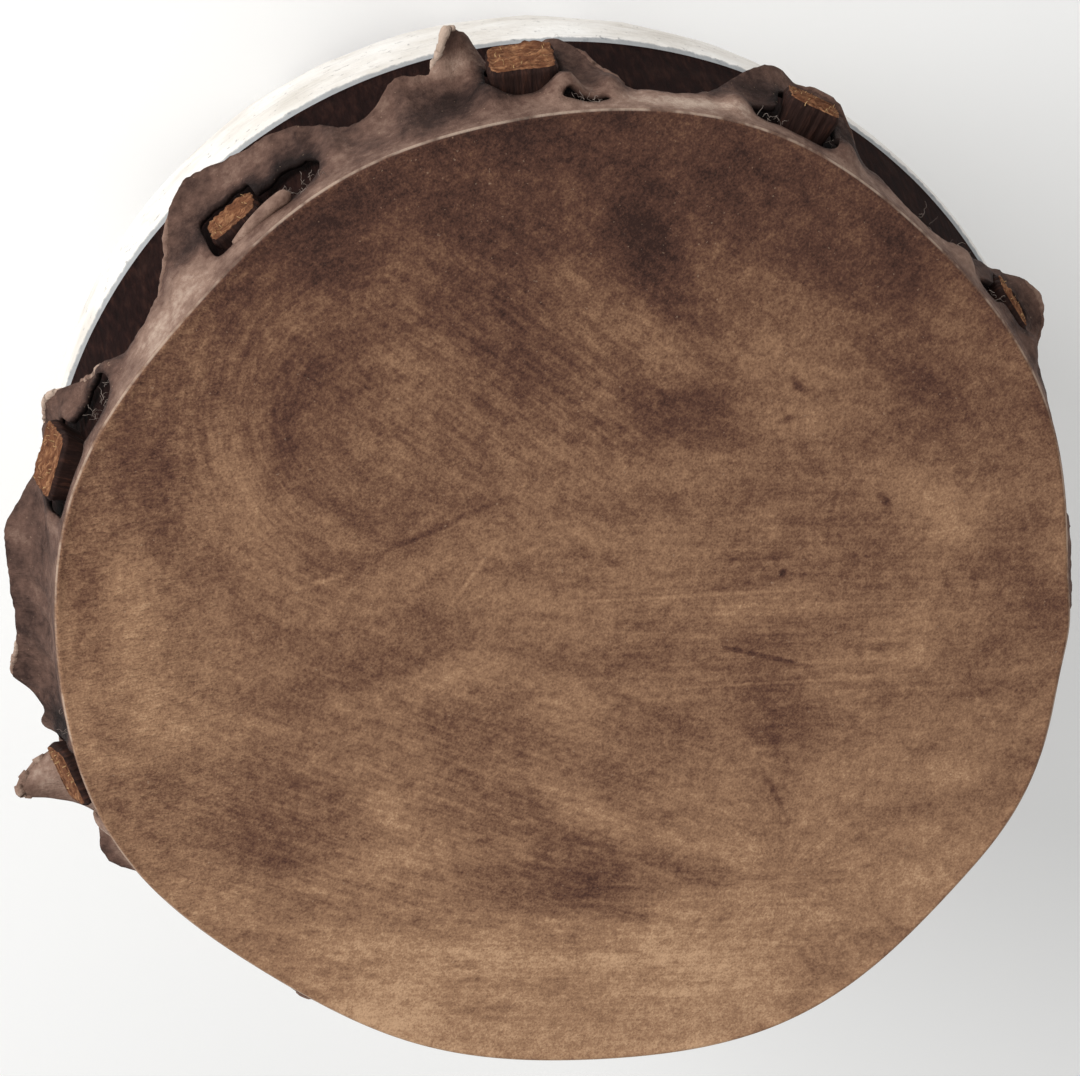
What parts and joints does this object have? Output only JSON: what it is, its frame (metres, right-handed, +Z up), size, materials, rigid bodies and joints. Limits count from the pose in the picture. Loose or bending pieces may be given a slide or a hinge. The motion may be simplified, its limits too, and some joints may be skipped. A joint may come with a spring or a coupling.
{
  "type": "ceremonial ritual drum",
  "caption": "Squat footed drum carved hollow from one log, its rawhide head turned down over the rim and held by split wooden pegs.",
  "frame": {"origin": "on the floor, at the centre of the foot, on the drum's axis", "axes": "+Z up along the drum's axis to the struck head; +X and +Y across, pegs numbered counter-clockwise from +X seen from above"},
  "size_m": [0.3961, 0.4017, 0.38],
  "materials": {
    "shell_wood": "old carved wood, dark and smoke-stained on the neck, washed with pale clay below it",
    "rawhide": "matt scraped rawhide, mottled brown, stiff",
    "peg_wood": "split reddish hardwood with chopped, rough ends"
  },
  "bodies": {
    "root": {"shell": "shell_wood", "head_hide": "rawhide", "peg_01": "peg_wood", "peg_02": "peg_wood", "peg_03": "peg_wood", "peg_04": "peg_wood", "peg_05": "peg_wood", "peg_06": "peg_wood", "peg_07": "peg_wood", "peg_08": "peg_wood", "peg_09": "peg_wood", "peg_10": "peg_wood", "peg_11": "peg_wood"}
  },
  "joints": []
}
